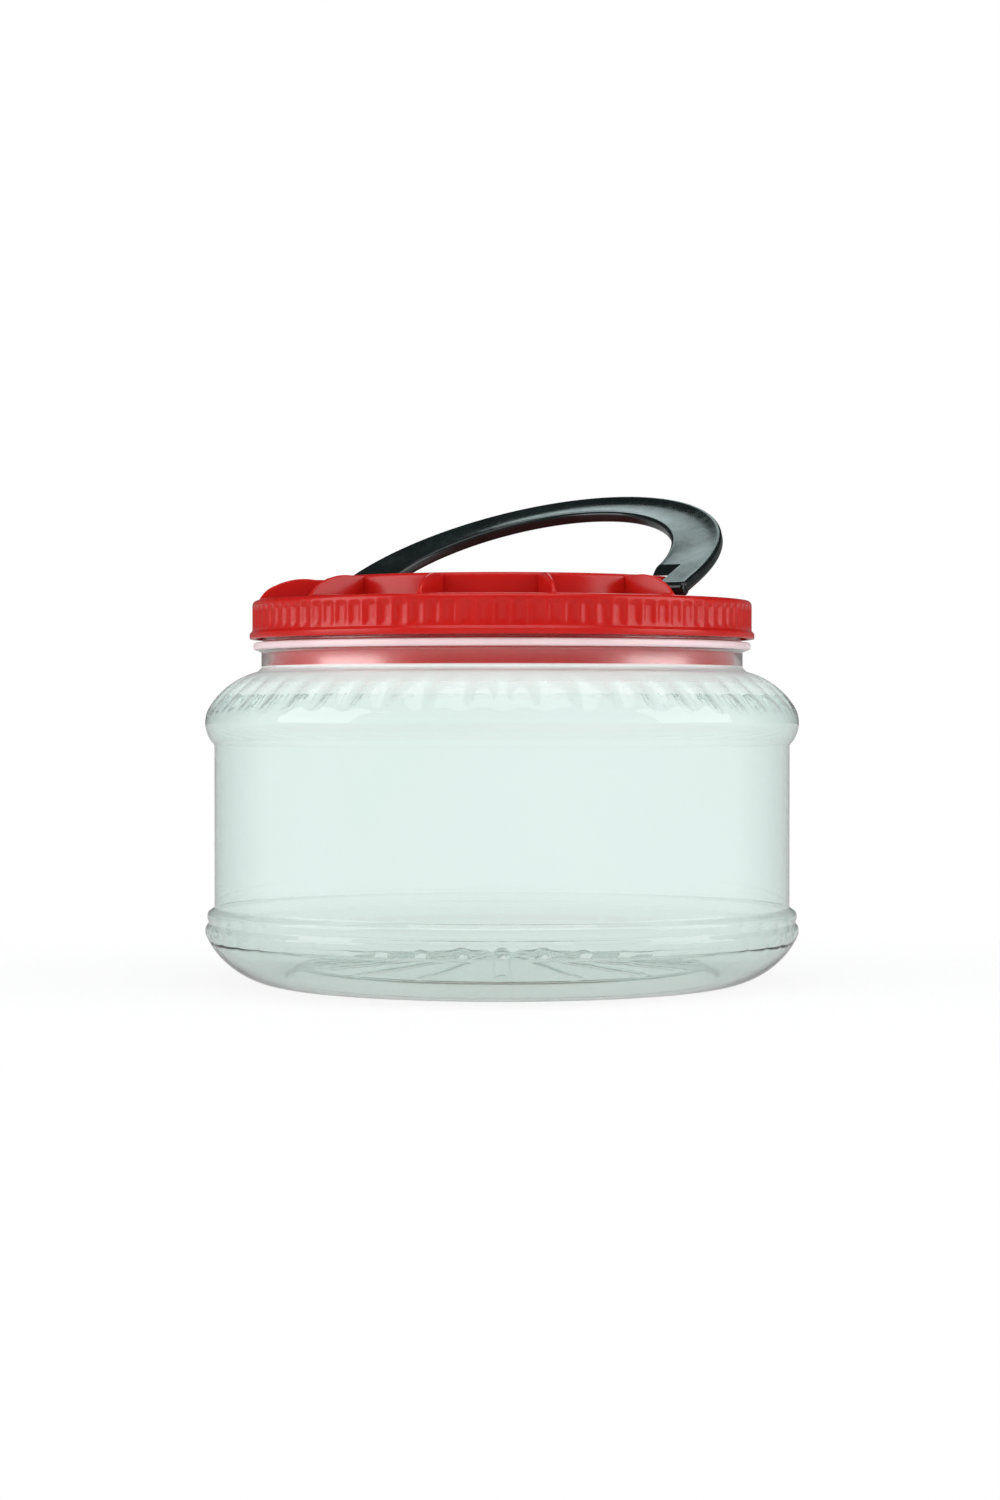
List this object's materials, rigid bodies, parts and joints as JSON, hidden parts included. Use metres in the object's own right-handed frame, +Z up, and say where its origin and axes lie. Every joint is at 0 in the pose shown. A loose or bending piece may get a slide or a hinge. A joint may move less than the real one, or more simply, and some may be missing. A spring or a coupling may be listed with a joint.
{
  "type": "wide-mouth pickle jar with screw lid and swing handle",
  "caption": "Squat clear jar with fluted shoulder and beaded body, a knurled screw lid with grip fins, and a swing handle pegged to the lid.",
  "frame": {"origin": "on the jar's axis, in the plane of the ring that it stands on", "axes": "+Z up along the jar's axis; -Y towards the viewer of the front; +X to the right"},
  "size_m": [0.176, 0.176, 0.1483],
  "materials": {
    "clear_pet": "clear",
    "red_lid": "gloss",
    "black_handle": "gloss",
    "seal_foam": "matt"
  },
  "bodies": {
    "jar": {"jar": "clear_pet"},
    "seal": {"seal_ring": "seal_foam"},
    "lid": {"lid": "red_lid"},
    "handle": {"handle": "black_handle"}
  },
  "joints": [
    {"name": "lid_rise", "type": "slide", "parent": "jar", "child": "seal", "axis": [0, 0, 1], "range_m": [0, 0.021]},
    {"name": "lid_turn", "type": "hinge", "parent": "seal", "child": "lid", "pos_m": [0, 0, 0.1134], "axis": [0, 0, 1], "range_deg": [0, 1260]},
    {"name": "handle_swing", "type": "hinge", "parent": "lid", "child": "handle", "pos_m": [0, 0, 0.116], "axis": [0.8339, -0.5519, 0], "range_deg": [0, 128]}
  ],
  "couplings": [
    {"joint": "lid_rise", "follows": "lid_turn", "m_per_rad": 0.00095493}
  ]
}
